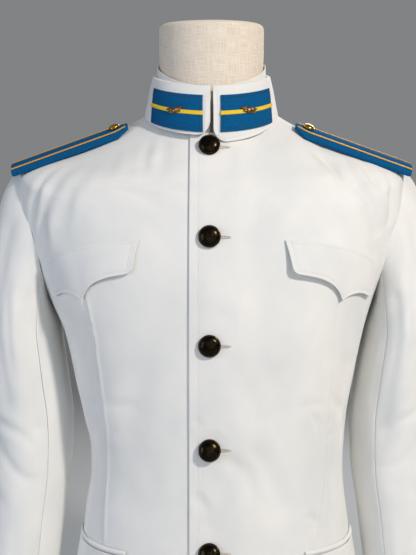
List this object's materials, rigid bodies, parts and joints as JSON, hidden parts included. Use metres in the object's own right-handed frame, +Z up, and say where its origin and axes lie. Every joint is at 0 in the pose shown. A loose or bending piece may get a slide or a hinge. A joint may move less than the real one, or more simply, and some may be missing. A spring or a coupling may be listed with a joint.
{
  "type": "military tunic on a limbless dress form",
  "caption": "White single-breasted military tunic with blue collar tabs, shoulder boards and flapped pockets, buttoned on a linen-covered limbless dress form that stands on its flat base",
  "frame": {"origin": "centre of the dress form's flat base, on the surface that it stands on", "axes": "+Z up the figure, -Y out of the tunic's front, +X to the wearer's left"},
  "size_m": [0.538, 0.2621, 0.8746],
  "materials": {
    "white_drill": "matte cotton drill",
    "blue_felt": "napped wool felt",
    "yellow_braid": "flat woven braid",
    "gold_braid": "metallic thread braid",
    "brass": "aged stamped brass",
    "dark_bronze": "glossy dark bronze",
    "linen": "plain slubbed linen"
  },
  "bodies": {
    "root": {"front_left": "white_drill", "back_left": "white_drill", "side_left": "white_drill", "sleeve_upper_left": "white_drill", "sleeve_under_left": "white_drill", "chest_flap_left": "white_drill", "hip_flap_left": "white_drill", "hip_welt_left": "white_drill", "tab_left": "blue_felt", "board_left": "blue_felt", "tab_stripe_left": "yellow_braid", "braid_front_left": "gold_braid", "braid_back_left": "gold_braid", "badge_left": "brass", "board_button_left": "brass", "front_right": "white_drill", "back_right": "white_drill", "side_right": "white_drill", "sleeve_upper_right": "white_drill", "sleeve_under_right": "white_drill", "chest_flap_right": "white_drill", "hip_flap_right": "white_drill", "hip_welt_right": "white_drill", "tab_right": "blue_felt", "board_right": "blue_felt", "tab_stripe_right": "yellow_braid", "braid_front_right": "gold_braid", "braid_back_right": "gold_braid", "badge_right": "brass", "board_button_right": "brass", "collar_stand": "white_drill", "collar_fall": "white_drill", "collar_liner": "white_drill", "button_1": "dark_bronze", "button_2": "dark_bronze", "button_3": "dark_bronze", "button_4": "dark_bronze", "button_5": "dark_bronze", "dress_form": "linen"}
  },
  "joints": []
}
